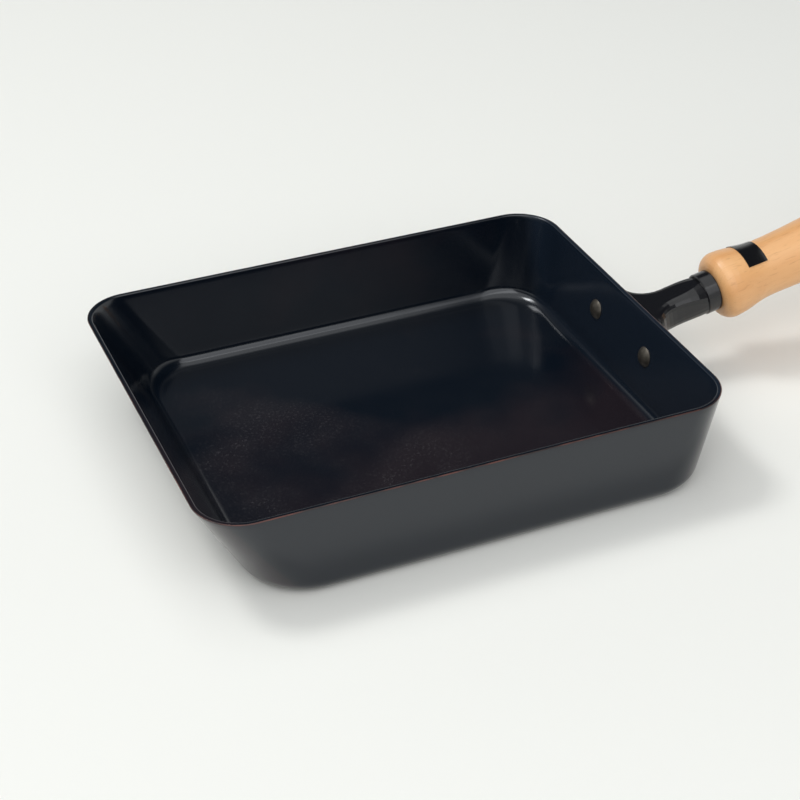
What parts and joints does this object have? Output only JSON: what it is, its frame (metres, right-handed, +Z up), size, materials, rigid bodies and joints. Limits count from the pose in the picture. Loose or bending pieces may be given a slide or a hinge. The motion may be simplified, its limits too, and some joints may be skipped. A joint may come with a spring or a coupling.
{
  "type": "tamagoyaki pan",
  "caption": "Rectangular pressed iron egg pan with one sloped short wall, a riveted steel bracket and a turned wooden grip with a hanging eye.",
  "frame": {"origin": "centre of the base's underside, midway between the feet of the walls", "axes": "+X along the handle, +Z up, +Y across the pan"},
  "size_m": [0.3678, 0.145, 0.0672],
  "materials": {
    "blackened_iron": "smooth blackened sheet iron, satin sheen",
    "rivet_steel": "dull tumbled steel",
    "black_paint": "gloss black heat-proof paint",
    "plated_steel": "zinc plated, satin",
    "beech": "turned beech, satin lacquer",
    "label_film": "bare black film"
  },
  "bodies": {
    "root": {"pan_body": "blackened_iron", "rivets": "rivet_steel", "handle_bracket": "black_paint", "neck_collar": "black_paint", "neck_nut": "plated_steel", "tie_rod": "plated_steel", "grip": "beech", "grip_label": "label_film", "tail_washer": "plated_steel", "hanging_eye": "plated_steel"}
  },
  "joints": []
}
